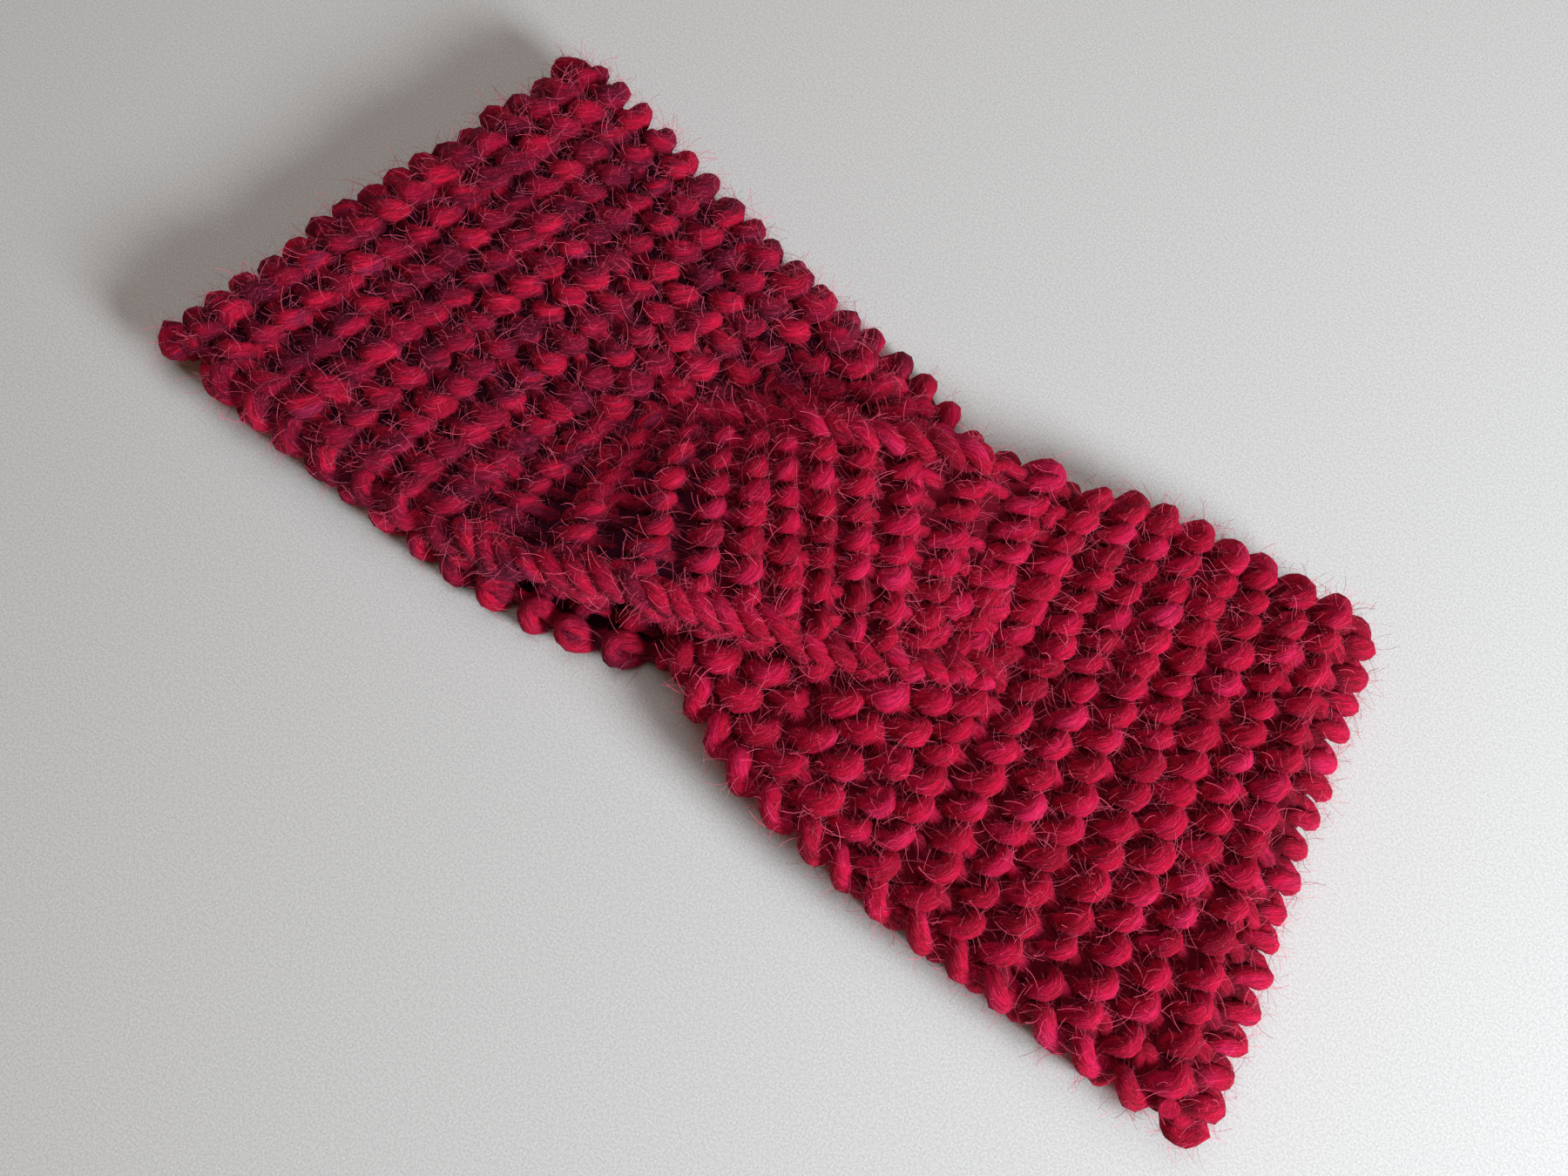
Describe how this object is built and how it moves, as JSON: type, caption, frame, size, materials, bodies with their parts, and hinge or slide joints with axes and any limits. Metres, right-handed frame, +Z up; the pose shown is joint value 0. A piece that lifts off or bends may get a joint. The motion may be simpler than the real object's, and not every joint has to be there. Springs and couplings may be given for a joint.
{
  "type": "knitted twist headband",
  "caption": "Chunky garter-stitch wool headband: a closed loop lying flat, with two strands crossing at the front centre.",
  "frame": {"origin": "centre of the underside, on the surface that the headband lies on", "axes": "+X along the flattened loop, from the burgundy end to the crimson end; +Y across the band, towards its shorter edge; +Z up through the crossing"},
  "size_m": [0.2714, 0.102, 0.0234],
  "materials": {
    "burgundy_wool": "fuzzy roving yarn, burgundy and plum melange",
    "crimson_wool": "fuzzy roving yarn, crimson",
    "seam_wool": "the same wool, used as sewing yarn"
  },
  "bodies": {
    "back_left": {"back_left_panel": "burgundy_wool", "left_side_fold": "burgundy_wool"},
    "front_left": {"front_left_panel": "burgundy_wool", "under_strand_left": "burgundy_wool", "over_strand_left": "burgundy_wool", "seam_yarn": "seam_wool"},
    "front_right": {"front_right_panel": "crimson_wool", "under_strand_right": "crimson_wool", "over_strand_right": "crimson_wool"},
    "back_right": {"back_right_panel": "crimson_wool", "right_side_fold": "crimson_wool"}
  },
  "joints": [
    {"name": "left_fold_open", "type": "hinge", "parent": "back_left", "child": "front_left", "pos_m": [-0.11405, 0, 0.00825], "axis": [-0.2588, -0.9659, 0], "range_deg": [0, 60], "deforming": ["left_side_fold"]},
    {"name": "crossing_bend", "type": "hinge", "parent": "front_left", "child": "front_right", "pos_m": [0, 0, 0.01225], "axis": [0, -1, 0], "range_deg": [-60, 0]},
    {"name": "right_fold_open", "type": "hinge", "parent": "front_right", "child": "back_right", "pos_m": [0.11405, 0, 0.00825], "axis": [0.2588, -0.9659, 0], "range_deg": [0, 60], "deforming": ["right_side_fold"]}
  ],
  "couplings": [
    {"joint": "crossing_bend", "follows": "left_fold_open", "ratio": -0.955},
    {"joint": "right_fold_open", "follows": "left_fold_open", "ratio": 1}
  ]
}
